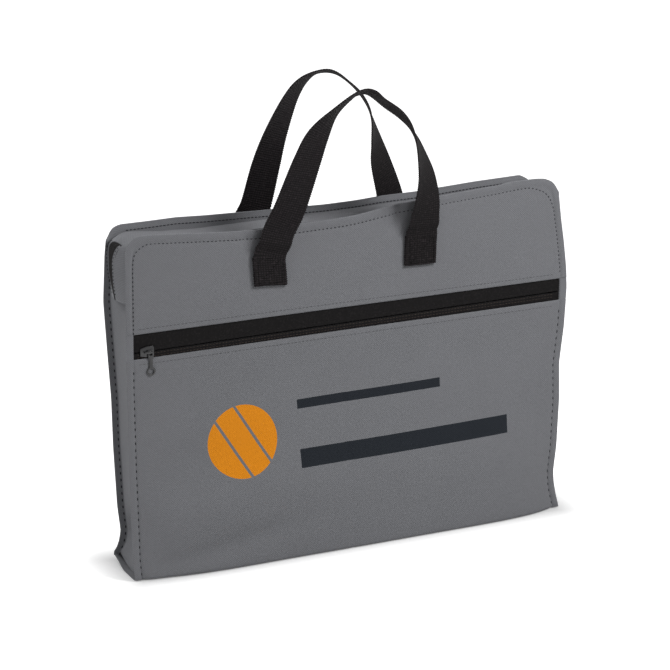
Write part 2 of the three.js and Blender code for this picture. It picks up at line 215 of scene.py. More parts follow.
def front_y(x, z, top=None):
    """Outer face of the bag's front. The pocket's belly stands forward; the zip and the top stay straight."""
    wide = np.clip(1 - (x / 193) ** 2, 0, 1)
    belly = 11.5 * np.clip(1 - np.abs(x / 194) ** (2 + 6 * ease((110 - z) / 110)), 0, 1) * ease((172 - z) / 130)
    along = z - 0.18 * (x + 187)
    left_part = ease((x + 190) / 24) * ease((-10 - x) / 120)
    fold = (3.4 * np.exp(-((along - 46) / 21) ** 2) - 4.2 * np.exp(-((along - 9) / 11) ** 2)) * left_part
    fold += 1.2 * np.exp(-((z - 118 - 0.12 * (x + 190)) / 20) ** 2) * left_part
    for dent_x in (-93, 44):
        fold -= 2.2 * np.exp(-((x - dent_x - 0.25 * (z - 282)) / 4.5) ** 2) * ease((z - 262) / 20)
    crease = 0.5 * np.exp(-((x + 8 + 0.04 * (z - 90)) / 2.2) ** 2) * ease((176 - z) / 30)
    ripple = 0.45 * np.sin(x / 31 + z / 47) * np.sin(z / 29 - x / 83) * wide * ease((178 - z) / 40)
    soft = 0.35 * np.sin(x / 43 + 1) * np.sin(z / 17) * wide * ease((z - 214) / 20) * ease((284 - z) / 14)
    plain = 25 + ease((175 - z) / 175) - 1.2 * ease((z - 212) / 80)
    depth = HALF - np.abs(x)
    if top is not None:
        depth = -4 * np.log(np.exp(-depth * HEM_STITCH / FLANGE_STITCH / 4) + np.exp(-(top - z) / 4)) + 0.6
        sewn = band_relief(depth, HEM_STITCH)
    else:
        sewn = band_relief(depth, FLANGE_STITCH)
    return -(plain + belly + fold - crease + ripple + soft * 0.6 + sewn * 0.8)


def back_y(x, z, top):
    """Outer face of the bag's back, which is plain and nearly flat."""
    wide = np.clip(1 - (x / 193) ** 2, 0, 1)
    ripple = 0.7 * np.sin(x / 52 + 2) * np.sin(z / 61) * wide * ease((230 - z) / 40)
    depth = HALF - np.abs(x)
    depth = -4 * np.log(np.exp(-depth * HEM_STITCH / FLANGE_STITCH / 4) + np.exp(-(top - z) / 4)) + 0.6
    return 24.6 + ripple - 0.9 * ease((z - 200) / 90) + 0.7 * band_relief(depth, HEM_STITCH)


# Height of the crease where the zip strips turn down into the valley of the top, out from the middle.
crease_height = line_through([(0, 281), (119, 281.4), (150, 283.2), (172, 286), (190, 286.5), (200, 280)])


def columns():
    """Places across the flat pattern, close together at the sewn flanges."""
    edge = np.array([0, 0.7, 1.8, 3, 4.2, 5.2, 5.7, 6.1, 6.6, 7.4, 8.6, 10.4, 13])
    middle = np.linspace(-HALF + 15.5, HALF - 15.5, 116)
    return np.concatenate([-HALF + edge, middle, (HALF - edge)[::-1]])


def select_only(piece):
    bpy.ops.object.select_all(action="DESELECT")
    piece.select_set(True)
    bpy.context.view_layer.objects.active = piece


def new_piece(name, points, faces, finish):
    """A mesh object from points in millimetres, selected alone."""
    mesh = bpy.data.meshes.new(name)
    mesh.from_pydata((np.array(points).reshape(-1, 3) * MM).tolist(), [], faces)
    mesh.materials.append(finish)
    piece = bpy.data.objects.new(name, mesh)
    bpy.context.scene.collection.objects.link(piece)
    select_only(piece)
    return piece


def cloth(name, points, pattern, finish, thickness=SHEET, facing=(0, -1, 0), offset=-1):
    """A sheet through a grid of points, thickened inwards from its outer face."""
    rows, count = points.shape[:2]
    corner = np.arange(rows * count).reshape(rows, count)
    quads = np.stack([corner[:-1, :-1], corner[:-1, 1:], corner[1:, 1:], corner[1:, :-1]], -1).reshape(-1, 4)
    a, b, c, d = (points.reshape(-1, 3)[quads[:, k]] for k in range(4))
    if np.cross(c - a, d - b).sum(0) @ np.array(facing) < 0:
        quads = quads[:, ::-1]
    piece = new_piece(name, points, quads.tolist(), finish)
    layer = piece.data.uv_layers.new(name="pattern")
    loops = np.empty(len(piece.data.loops), np.int32)
    piece.data.loops.foreach_get("vertex_index", loops)
    layer.data.foreach_set("uv", (pattern.reshape(-1, 2) / PATTERN_UNIT)[loops].astype(np.float32).ravel())
    wall = piece.modifiers.new("wall", "SOLIDIFY")
    wall.thickness, wall.offset, wall.use_even_offset = thickness * MM, offset, False
    bpy.ops.object.modifier_apply(modifier="wall")
    bpy.ops.object.shade_smooth_by_angle(angle=math.radians(50))
    return piece


def sum_of(nodes, links, operation, *terms):
    """One Math node on sockets or numbers."""
    node = nodes.new("ShaderNodeMath")
    node.operation = operation
    for slot, term in enumerate(terms):
        if isinstance(term, (int, float)):
            node.inputs[slot].default_value = term
        else:
            links.new(term, node.inputs[slot])
    return node.outputs[0]


def spunbond(name, colour, motif=False):
    """Matt non-woven cloth with its pressed diagonal lattice, cloudy fibres and, on the pocket, a print."""
    material, nodes, links, shader = surface(name)
    coord = nodes.new("ShaderNodeTexCoord")
    split = nodes.new("ShaderNodeSeparateXYZ")
    links.new(coord.outputs["UV"], split.inputs[0])
    u, v = split.outputs["X"], split.outputs["Y"]

    def op(kind, *terms):
        return sum_of(nodes, links, kind, *terms)

    rate = 2 * math.pi * PATTERN_UNIT / LATTICE_PITCH
    one = op("SINE", op("MULTIPLY", op("ADD", u, v), rate))
    other = op("SINE", op("MULTIPLY", op("SUBTRACT", u, v), rate))
    lattice = op("MAXIMUM", one, op("MULTIPLY", other, 0.55))
    fibres = nodes.new("ShaderNodeTexNoise")
    fibres.inputs["Scale"].default_value = 900
    fibres.inputs["Detail"].default_value = 3
    clouds = nodes.new("ShaderNodeTexNoise")
    clouds.inputs["Scale"].default_value = 26
    clouds.inputs["Detail"].default_value = 4
    for noise in (fibres, clouds):
        links.new(coord.outputs["Object"], noise.inputs["Vector"])
    shade = op("ADD", op("MULTIPLY", lattice, 0.19), op("MULTIPLY", fibres.outputs["Fac"], 0.34))
    shade = op("ADD", shade, op("MULTIPLY", clouds.outputs["Fac"], 0.1))
    shade = op("ADD", shade, 0.70)
    tint = nodes.new("ShaderNodeVectorMath")
    tint.operation = "SCALE"
    tint.inputs[0].default_value = colour
    links.new(shade, tint.inputs["Scale"])
    base = tint.outputs[0]
    if motif:
        def inside(x0, x1, z0, z1):
            across = op("MULTIPLY", op("GREATER_THAN", u, x0 / PATTERN_UNIT), op("LESS_THAN", u, x1 / PATTERN_UNIT))
            return op("MULTIPLY", across, op("MULTIPLY", op("GREATER_THAN", v, z0 / PATTERN_UNIT),
                                             op("LESS_THAN", v, z1 / PATTERN_UNIT)))

        disc_x, disc_z, disc_radius, gap_offset, gap_half = -1.03, 1.09, 0.31, 0.12, 0.014
        du, dv = op("SUBTRACT", u, disc_x), op("SUBTRACT", v, disc_z)
        away = op("SQRT", op("ADD", op("MULTIPLY", du, du), op("MULTIPLY", dv, dv)))
        slant = op("ABSOLUTE", op("SUBTRACT", op("ABSOLUTE", op("ADD", du, op("MULTIPLY", dv, 0.6))), gap_offset))
        sun = op("MULTIPLY", op("LESS_THAN", away, disc_radius), op("GREATER_THAN", slant, gap_half))
        bars = op("MAXIMUM", inside(-52, 82, 129, 137), inside(-52, 146, 79, 95))
        for mask, ink in ((sun, (0.80, 0.27, 0.004)), (bars, (0.006, 0.009, 0.014))):
            layer = nodes.new("ShaderNodeMix")
            layer.data_type = "RGBA"
            links.new(mask, layer.inputs["Factor"])
            links.new(base, layer.inputs["A"])
            layer.inputs["B"].default_value = (*ink, 1)
            base = layer.outputs["Result"]
    links.new(base, shader.inputs["Base Color"])
    shader.inputs["Roughness"].default_value = 0.88
    shader.inputs["Sheen Weight"].default_value = 0.12
    shader.inputs["Specular IOR Level"].default_value = 0.25
    bump = nodes.new("ShaderNodeBump")
    bump.inputs["Strength"].default_value = 0.8
    bump.inputs["Distance"].default_value = 0.0003
    height = op("ADD", op("MULTIPLY", lattice, 0.5), op("MULTIPLY", fibres.outputs["Fac"], 0.6))
    links.new(height, bump.inputs["Height"])
    links.new(bump.outputs[0], shader.inputs["Normal"])
    return material


GREY = (0.183, 0.186, 0.199)
grey_cloth = spunbond("grey_cloth", GREY)
printed_cloth = spunbond("printed_cloth", GREY, motif=True)


def turned_edge(start, stop, steps=6):
    """Angles round a folded edge, from degrees."""
    return np.radians(np.linspace(start, stop, steps))


x = columns()
profile = []           # each row: x, y, z and the place along the cloth


def row(y, z, along, left, right):
    profile.append((spread(x, z, left, right), y + 0 * x, z + 0 * x, along + 0 * x))


edge = pocket_top(x)
face = front_y(x, edge)
for down in (9, 6, 3, TURN_IN):
    row(face + 2 * TURN_IN, edge - down, edge + down, front_left_edge, front_right_edge)
for a in turned_edge(20, 160):
    row(face + TURN_IN + TURN_IN * np.cos(a), edge - TURN_IN + TURN_IN * np.sin(a), edge + TURN_IN * np.cos(a),
        front_left_edge, front_right_edge)
for t in np.linspace(0, 1, 62):
    z = (edge - TURN_IN) * (1 - t) + FOOT * t
    row(front_y(x, z), z, z, front_left_edge, front_right_edge)
foot = front_y(x, FOOT + 0 * x)
heel = back_y(x, FOOT + 0 * x, back_top(x))
back_lift = 6.5 * np.exp(-((x + HALF) / 7) ** 2)       # the left rear corner stands off the floor
for a in turned_edge(195, 262):
    row(foot + BASE_FOLD + BASE_FOLD * np.cos(a), FOOT + BASE_FOLD * np.sin(a), FOOT + BASE_FOLD * np.sin(a),
        front_left_edge, front_right_edge)
for t in np.linspace(0, 1, 16)[1:-1]:
    y = (foot + BASE_FOLD) * (1 - t) + (heel - BASE_FOLD) * t
    row(y, 0.2 + back_lift * ease(2 * t - 1) + 0.25 * (1 - np.cos(2 * np.pi * t)), -2 - 50 * t,
        lambda z, t=t: front_left_edge(0) * (1 - t) + back_left_edge(0) * t,
        lambda z, t=t: front_right_edge(0) * (1 - t) + back_right_edge(0) * t)
for a in turned_edge(278, 345):
    row(heel - BASE_FOLD + BASE_FOLD * np.cos(a), FOOT + BASE_FOLD * np.sin(a) + back_lift,
        BACK_START + BASE_FOLD - BASE_FOLD * np.cos(a), back_left_edge, back_right_edge)
top = back_top(x)
for t in np.linspace(0, 1, 62):
    z = (FOOT + back_lift) * (1 - t) + (top - TURN_IN) * t
    row(back_y(x, z, top), z, BACK_START - z, back_left_edge, back_right_edge)
rim = back_y(x, top - TURN_IN, top)
for a in turned_edge(20, 160):
    row(rim - TURN_IN + TURN_IN * np.cos(a), top - TURN_IN + TURN_IN * np.sin(a), BACK_START - top,
        back_left_edge, back_right_edge)
lip = np.maximum(top - crease_height(np.abs(x)) + 1, 2)
for t in np.linspace(0, 1, 6):
    down = TURN_IN * (1 - t) + lip * t
    row(rim - 2 * TURN_IN - 1.2 * t ** 2 - 0.7 * np.sin(np.pi * t), top - down, BACK_START - 2 - top - down,
        back_left_edge, back_right_edge)
grid = np.array(profile).transpose(0, 2, 1)
pattern = np.stack([np.broadcast_to(x, grid.shape[:2]), grid[..., 3]], -1)
body_cloth = cloth("body_cloth", grid[..., :3], pattern, printed_cloth, facing=(0, 0, -1))
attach(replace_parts(body_cloth, "body_wrap"), "case")

# Front yoke: the strip of the same cloth above the pocket zip. Its lower edge is turned in along the zip,
# and its upper edge is rolled over and sewn down to take the zip strip of the top.
profile = []
edge, top = band_top(x), front_top(x)
face = front_y(x, edge + TURN_IN, top)
for up in (8, 5, 2.5, TURN_IN):
    row(face + 2 * TURN_IN, edge + up, edge - up, front_left_edge, front_right_edge)
for a in turned_edge(340, 200):
    row(face + TURN_IN + TURN_IN * np.cos(a), edge + TURN_IN + TURN_IN * np.sin(a), edge, front_left_edge,
        front_right_edge)
for t in np.linspace(0, 1, 48):
    z = (edge + TURN_IN) * (1 - t) + (top - TURN_IN) * t
    row(front_y(x, z, top), z, z, front_left_edge, front_right_edge)
rim = front_y(x, top - TURN_IN, top)
for a in turned_edge(160, 20):
    row(rim + TURN_IN + TURN_IN * np.cos(a), top - TURN_IN + TURN_IN * np.sin(a), top, front_left_edge,
        front_right_edge)
lip = np.maximum(top - crease_height(np.abs(x)) + 1, 2)
for t in np.linspace(0, 1, 6):
    down = TURN_IN * (1 - t) + lip * t
    row(rim + 2 * TURN_IN + 0.5 * t, top - down, top + down, front_left_edge, front_right_edge)
grid = np.array(profile).transpose(0, 2, 1)
pattern = np.stack([np.broadcast_to(x, grid.shape[:2]), grid[..., 3]], -1)
yoke_cloth = cloth("yoke_cloth", grid[..., :3], pattern, grey_cloth)
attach(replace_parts(yoke_cloth, "front_yoke"), "case")

# Pocket lining: a plain sheet of the same cloth between the pocket and the main compartment. It stands on the
# base, is caught in the side seams and leans forward to the yoke at the top.
lining_low, lining_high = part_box("pocket_lining")
lining_x = np.linspace(lining_low.x, lining_high.x, 50) / MM
levels = np.linspace(lining_low.z / MM, 276, 44)
across, up = np.meshgrid(lining_x, levels)
lean_in = ease((up - 250) / 26)
slack = 0.5 * np.sin(across / 37) * np.sin(up / 41) * (1 - lean_in)
depth = -18.9 * (1 - lean_in) - 22.1 * lean_in + slack
corner_cut = 22 * np.clip((np.abs(across) - 168) / 24, 0, 1) ** 2 * lean_in
# The lining's cloth gets a darker grey than the body's, as painted shade for its place inside the pocket.
lining_cloth = cloth("lining_cloth", np.stack([across, depth, up - corner_cut], -1), np.stack([across, up], -1),
                     spunbond("lining_cloth_shaded_grey", (0.145, 0.147, 0.157)))
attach(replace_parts(lining_cloth, "pocket_lining"), "case")

# Side gussets: a strip of the body cloth between front and back, turned outwards at both edges and sewn into
# the flanges. It bows in a little and is pinched above the base, where the bag folds when it lies flat.
GUSSET_X = 197          # where the gusset meets the front and the back
GUSSET_TOP = 290
for side, label, front_edge, rear_edge in ((-1, "left", front_left_edge, back_left_edge),
                                           (1, "right", front_right_edge, back_right_edge)):
    web = np.linspace(0, 1, 19)
    steps = np.array([0, 1.5, 3, 4.4, 5.3])
    share = np.concatenate([0 * steps, [0, 0], web, [1, 1], 1 + 0 * steps])
    inset = np.concatenate([steps, [5.8, 6.1], 5.9 + 0 * web, [6.1, 5.8], steps[::-1]])
    clear = np.concatenate([1.5 + 0 * steps, [1.75, 2.3], 3.2 + 0 * web, [2.3, 1.75], 1.5 + 0 * steps])
    bow = np.sin(np.pi * share) ** 1.3
    peak = np.where(bow > 0, 236 + 7 * (2 * share - 1) ** 6, 0)
    rise = np.concatenate([280 - 1.2 * steps, [266, 250], np.maximum(peak[7:-7], 236), [250, 266],
                           276 - 1.2 * steps[::-1]])
    grid, pattern = [], []
    for t in np.linspace(0, 1, 84) ** 1.25:
        z = 0.9 + (rise - 0.9) * t
        front_face = front_y(side * GUSSET_X + 0 * z, z)
        rear_face = back_y(side * GUSSET_X + 0 * z, z, GUSSET_TOP + 0 * z)
        inward = 2.5 + 9.5 * np.exp(-((z - 33) / 12) ** 2) - 3.5 * np.exp(-(z / 8) ** 2)
        seam = front_edge(z) * (1 - share) + rear_edge(z) * share
        px = seam - side * (inset + inward * bow)
        py = (front_face + clear) * (1 - share) + (rear_face - clear) * share
        lift = 6.5 * share ** 2 * np.exp(-(z / 9) ** 2) * (side < 0)
        grid.append(np.stack([px, py, z + lift], -1))
        pattern.append(np.stack([py + side * inset, z], -1))
    piece = cloth(f"{label}_gusset_cloth", np.array(grid), np.array(pattern), grey_cloth, facing=(side, 0, 0))
    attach(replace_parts(piece, f"{label}_gusset"), "case")

# Pocket zip: two black knitted tapes sewn behind the turned edges of the pocket and the yoke, with a nylon
# coil sewn along each. The coils are on the inner side, so that the front shows only the two tape edges.
ZIP_HEIGHT = 196.5
TAPE_FACE = -23.7       # depth of the tapes' outer face
PATTERN_TURN = 628.3    # a full turn for each unit of the pattern, over a pitch in millimetres


def knitted(name, colour, ribs_along):
    """Black knitted or woven tape: fine ribs with painted highlights on their crests and painted shade between them,
    painted highlights on the webbing's weave crossings, a little lint, and a dull sheen.
    """
    material, nodes, links, shader = surface(name)
    coord = nodes.new("ShaderNodeTexCoord")
    split = nodes.new("ShaderNodeSeparateXYZ")
    links.new(coord.outputs["UV"], split.inputs[0])
    u, v = split.outputs["X"], split.outputs["Y"]

    def op(kind, *terms):
        return sum_of(nodes, links, kind, *terms)

    across, along = (v, u) if ribs_along else (u, v)
    rib_pitch, rib_light_and_shade, fleck_depth = (1.9, 0.3, 2.2) if ribs_along else (1.1, 0.14, 0.9)
    cord_pitch, pick_pitch = 0.8, 2.3
    rib = op("SINE", op("MULTIPLY", across, PATTERN_TURN / rib_pitch))
    cord = op("SINE", op("MULTIPLY", along, PATTERN_TURN / cord_pitch))
    lint = nodes.new("ShaderNodeTexNoise")
    lint.inputs["Scale"].default_value = 700
    lint.inputs["Detail"].default_value = 4
    links.new(coord.outputs["Object"], lint.inputs["Vector"])
    fleck = op("MULTIPLY", op("GREATER_THAN", lint.outputs["Fac"], 0.6), fleck_depth)
    shade = op("ADD", op("MULTIPLY", lint.outputs["Fac"], 0.7), 0.62)
    # Colour lighter on the rib crests and darker between them: painted highlight and shade of the ribs.
    shade = op("ADD", shade, op("MULTIPLY", rib, rib_light_and_shade))
    # On the webbing, the crossings of ribs and picks are lightened as painted highlights.
    if ribs_along:
        pick = op("SINE", op("MULTIPLY", u, PATTERN_TURN / pick_pitch))
        crossing_highlight = op("MULTIPLY", op("MAXIMUM", rib, 0.0), op("MAXIMUM", pick, 0.0))
        shade = op("ADD", shade, op("MULTIPLY", crossing_highlight, 4.0))
    shade = op("ADD", shade, fleck)
    tint = nodes.new("ShaderNodeVectorMath")
    tint.operation = "SCALE"
    tint.inputs[0].default_value = colour
    links.new(shade, tint.inputs["Scale"])
    links.new(tint.outputs[0], shader.inputs["Base Color"])
    shader.inputs["Roughness"].default_value = 0.8
    shader.inputs["Specular IOR Level"].default_value = 0.12
    bump = nodes.new("ShaderNodeBump")
    bump.inputs["Strength"].default_value = 0.5
    bump.inputs["Distance"].default_value = 0.0002
    links.new(op("ADD", rib, op("MULTIPLY", cord, 0.5)), bump.inputs["Height"])
    links.new(bump.outputs[0], shader.inputs["Normal"])
    return material


tape_black = knitted("tape_black", (0.0062, 0.0055, 0.0057), False)
coil_black, nodes, links, shader = surface("coil_black")
grain = nodes.new("ShaderNodeTexNoise")
grain.inputs["Scale"].default_value = 400
ramp = nodes.new("ShaderNodeMapRange")
ramp.inputs["To Min"].default_value, ramp.inputs["To Max"].default_value = 0.3, 0.5
links.new(nodes.new("ShaderNodeTexCoord").outputs["Object"], grain.inputs["Vector"])
links.new(grain.outputs["Fac"], ramp.inputs["Value"])
links.new(ramp.outputs[0], shader.inputs["Roughness"])
shader.inputs["Base Color"].default_value = (0.014, 0.013, 0.015, 1)


def coil(name, centre, inward, body_node, radius=0.95, wire=0.34, pitch=2.2):
    """A wound nylon monofilament round a centre line, one turn for each tooth."""
    steps = np.linalg.norm(np.diff(centre, axis=0), axis=1)
    place = np.concatenate([[0], np.cumsum(steps)])
    count = int(place[-1] / pitch * 8)
    at = np.linspace(0, place[-1], count)
    core = np.stack([np.interp(at, place, centre[:, k]) for k in range(3)], -1)
    inner = np.stack([np.interp(at, place, inward[:, k]) for k in range(3)], -1)
    side_way = np.array([0, 0, 1.0]) if abs(inner[:, 1]).max() > 0.9 else np.array([0, 1.0, 0])
    turn = 2 * np.pi * at / pitch
    out = inner * np.cos(turn)[:, None] + side_way * np.sin(turn)[:, None]
    along = np.gradient(core, axis=0)
    along /= np.linalg.norm(along, axis=1)[:, None]
    line = core + radius * out
    rings = [line + wire * (out * math.cos(a) + along * math.sin(a)) for a in (0.8, 2.4, 3.9, 5.5)]
    points = np.stack(rings, 1)
    index = np.arange(count * 4).reshape(count, 4)
    quads = np.stack([index[:-1], np.roll(index[:-1], -1, 1), np.roll(index[1:], -1, 1), index[1:]], -1)
    caps = [index[0][::-1].tolist(), index[-1].tolist()]
    piece = new_piece(name, points, quads.reshape(-1, 4).tolist() + caps, coil_black)
    bpy.ops.object.mode_set(mode="EDIT")
    bpy.ops.mesh.select_all(action="SELECT")
    bpy.ops.mesh.normals_make_consistent(inside=False)
    bpy.ops.object.mode_set(mode="OBJECT")
    bpy.ops.object.shade_smooth()
    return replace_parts(piece, *body_node)


tape_x = np.linspace(-195.5, 199, 160)
for up, label in ((1, "upper"), (-1, "lower")):
    heights = np.array([0.45, 0.7, 1.1, 1.7, 2.4, 3.2, 3.6, 3.8, 4.0, 4.6, 6, 8, 10, 12, 15, 18])
    if up < 0:
        heights = heights[:13] * 1.2
    swell = -0.18 * np.exp(-((heights - 1.5) / 0.9) ** 2) + 0.12 * np.exp(-((heights - 3.8) / 0.2) ** 2)
    reach, rise = np.meshgrid(tape_x, up * heights)
    relief = TAPE_FACE + np.broadcast_to(swell[:, None], reach.shape)
    relief = relief + 0.05 * np.sin(2 * np.pi * reach / 2.2) * np.exp(-np.abs(rise) / 1.2)
    grid = np.stack([reach, relief, ZIP_HEIGHT + rise], -1)
    piece = cloth(f"pocket_tape_{label}", grid, np.stack([reach, rise], -1), tape_black, thickness=0.45)
    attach(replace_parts(piece, f"pocket_zip_tape_{label}"), "case")
    centre = np.array([[-190, -21.9, ZIP_HEIGHT + up * 1.9], [190, -21.9, ZIP_HEIGHT + up * 1.9]], float)
    piece = coil(f"pocket_coil_{label}", centre, np.array([[0, 1.0, 0], [0, 1.0, 0]]), [f"pocket_zip_coil_{label}"])
    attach(piece, "case")

# Top gusset: on each face a strip of body cloth runs from the rolled top edge down into the valley, with a zip
# tape sewn under its free edge. At the ends strips and zip turn over the corners and down the sides. Each is
# made in a left and a right half, because the middle of it folds out when the zip is open.
ZIP_REST = 277.5                    # height of the zip along its straight run
ZIP_HALF_WIDTH = 7.7                # from the middle of the zip to the edge of each strip


def smooth_path(points, step=0.9):
    """A curve through points with any number of values each, sampled at even steps."""
    p = np.array(points, float)
    p = np.vstack([2 * p[0] - p[1], p, 2 * p[-1] - p[-2]])
    fine = []
    for k in range(1, len(p) - 2):
        t = np.linspace(0, 1, 24, endpoint=k == len(p) - 3)[:, None]
        fine.append(0.5 * (2 * p[k] + (p[k + 1] - p[k - 1]) * t
                           + (2 * p[k - 1] - 5 * p[k] + 4 * p[k + 1] - p[k + 2]) * t ** 2
                           + (3 * p[k] - p[k - 1] - 3 * p[k + 1] + p[k + 2]) * t ** 3))
    fine = np.vstack(fine)
    place = np.concatenate([[0], np.cumsum(np.linalg.norm(np.diff(fine[:, :2], axis=0), axis=1))])
    at = np.linspace(0, place[-1], max(int(place[-1] / step), 8))
    return np.stack([np.interp(at, place, fine[:, k]) for k in range(fine.shape[1])], -1)


zip_path = smooth_path([(0, ZIP_REST), (60, ZIP_REST), (119, ZIP_REST), (150, ZIP_REST), (176, 277.6), (184, 277.9),
                        (190, 278.7), (195, 282.3), (199.4, 283), (202.6, 278), (203.8, 268), (202.8, 252),
                        (200.3, 236.5)])
zip_step = np.gradient(zip_path, axis=0)
zip_step /= np.linalg.norm(zip_step, axis=1)[:, None]
zip_in = np.stack([zip_step[:, 1], -zip_step[:, 0]], -1)
taper = 3.7 * ease((286 - zip_path[:, 1]) / 18) + 2.8 * ease((268 - zip_path[:, 1]) / 30)
zip_half = ZIP_HALF_WIDTH - taper * ease((zip_path[:, 0] - 188) / 10)


def fold_with(piece):
    """Bakes the placement of a piece of the top into its mesh."""
    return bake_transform(piece)


for way, face_name in ((-1, "front"), (1, "back")):
    for side, end in ((-1, "left"), (1, "right")):
        edge_line = {(-1, -1): front_left_edge, (-1, 1): front_right_edge, (1, -1): back_left_edge,
                     (1, 1): back_right_edge}[way, side]
        seam_points = [(t, float(crease_height(t))) for t in (0, 40, 80, 119, 148, 166)]
        seam_points += [(180, 286.6), (188.5, 284), (192.4, 278)]
        seam_points += [(abs(float(edge_line(z))) - 6.4, z) for z in (268, 252, 236.5)]
        seam_path = smooth_path(seam_points)
        even = np.linspace(0, 1, len(zip_path))
        old = np.linspace(0, 1, len(seam_path))
        seam_path = np.stack([np.interp(even, old, seam_path[:, k]) for k in (0, 1)], -1)
        straight = zip_path[:, 0] < 150
        seam_path[straight, 0] = zip_path[straight, 0]
        seam_path[straight, 1] = crease_height(zip_path[straight, 0])
        grid = []
        for t in np.linspace(0, 1, 12):
            outward = -zip_in * (0.45 + 1.1 * np.sin(np.pi * t) * 0.6)
            line = seam_path * (1 - t) + zip_path * t + outward
            y = way * (21.9 * (1 - t) + (zip_half + 0.3) * t)
            grid.append(np.stack([side * line[:, 0], y + 0 * line[:, 0], line[:, 1]], -1))
        grid = np.array(grid).transpose(1, 0, 2)
        pattern = np.stack([grid[..., 0] + grid[..., 2], grid[..., 1]], -1)
        piece = cloth(f"{face_name}_strip_{end}", grid, pattern, grey_cloth, facing=(0, 0, 1))
        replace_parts(piece, f"{face_name}_zip_strip_{end}_end", f"{face_name}_zip_strip")
        fold_with(piece)
        reach = np.array([10.6, 9.2, 8.3, 7.4, 6.2, 4.8, 4.4, 4.0, 2.8, 1.4, 0.12])
        sink = np.array([0.75, 0.75, 0.6, 0.1, -0.2, -0.25, -0.12, -0.25, -0.25, -0.28, -0.1])
        line = zip_path[:, None, :] + zip_in[:, None, :] * sink[None, :, None]
        narrow = np.where(reach > 5, reach - ZIP_HALF_WIDTH + zip_half[:, None],
                          reach * zip_half[:, None] / ZIP_HALF_WIDTH)
        grid = np.stack([side * line[..., 0], way * np.maximum(narrow, 0.08), line[..., 1]], -1)
        along = np.arange(len(line))[:, None] * 0.9
        pattern = np.stack([np.broadcast_to(along, line.shape[:2]), grid[..., 1]], -1)
        piece = cloth(f"{face_name}_tape_{end}", grid, pattern, tape_black, thickness=0.45, facing=(0, 0, 1))
        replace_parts(piece, f"{face_name}_zip_tape_{end}_end", f"{face_name}_zip_tape")
        fold_with(piece)
        core = zip_path + zip_in * 1.55
        centre = np.stack([side * core[:, 0], way * 1.9 + 0 * core[:, 0], core[:, 1]], -1)
        inner = np.stack([side * zip_in[:, 0], 0 * core[:, 0], zip_in[:, 1]], -1)
        piece = coil(f"{face_name}_coil_{end}", centre, inner,
                     [f"{face_name}_zip_coil_{end}_end", f"{face_name}_zip_coil"])
        fold_with(piece)

# Sliders and pulls: die-cast zinc with black enamel. The slider's two plates are joined by a post between the
# coils, and the pull is a stamped link with a slot for the arch and a ring at its free end.
enamel, nodes, links, shader = surface("black_enamel")
shader.inputs["Base Color"].default_value = (0.008, 0.008, 0.009, 1)
shader.inputs["Metallic"].default_value = 0.3
shader.inputs["Coat Weight"].default_value = 0.35
speckle = nodes.new("ShaderNodeTexNoise")
speckle.inputs["Scale"].default_value = 1500
links.new(nodes.new("ShaderNodeTexCoord").outputs["Object"], speckle.inputs["Vector"])
polish = nodes.new("ShaderNodeMapRange")
polish.inputs["To Min"].default_value, polish.inputs["To Max"].default_value = 0.22, 0.42
links.new(speckle.outputs["Fac"], polish.inputs["Value"])
links.new(polish.outputs[0], shader.inputs["Roughness"])
for node in ("main_slider", "main_pull", "pocket_slider", "pocket_pull"):
    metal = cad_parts[node].copy()
    metal.data = metal.data.copy()
    metal.name = f"{node}_metal"
    metal.parent = None
    for key in list(metal.keys()):
        del metal[key]
    bpy.context.scene.collection.objects.link(metal)
    metal.matrix_world = Matrix.Identity(4)
    select_only(metal)
    metal.hide_render = metal.hide_viewport = False
    bpy.ops.object.mode_set(mode="EDIT")
    bpy.ops.mesh.select_all(action="SELECT")
    bpy.ops.mesh.remove_doubles(threshold=0.00001)
    bpy.ops.mesh.dissolve_limited(angle_limit=math.radians(1))
    bpy.ops.object.mode_set(mode="OBJECT")
    rounding = metal.modifiers.new("rounding", "BEVEL")
    rounding.width, rounding.segments, rounding.limit_method = 0.16 * MM, 2, "ANGLE"
    bpy.ops.object.modifier_apply(modifier="rounding")
    bpy.ops.object.shade_smooth_by_angle(angle=math.radians(40))
    metal.data.materials.clear()
    metal.data.materials.append(enamel)
    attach(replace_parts(metal, node), node)

# Handles: each is one length of 30 mm black polypropylene webbing. Its ends are turned under and sewn to the
# bag as double tabs. The loop between them twists by half a turn, so that its top stands nearly on edge.
webbing_black = knitted("webbing_black", (0.0058, 0.0048, 0.0052), True)
STRAP_HALF = 14.4
STRAP_STEP = 0.475      # spacing of the rows along the strap
RIB = 1.9
TAB_LOW, TAB_MIDDLE, TAB_TOP = 239.4, 250, 264


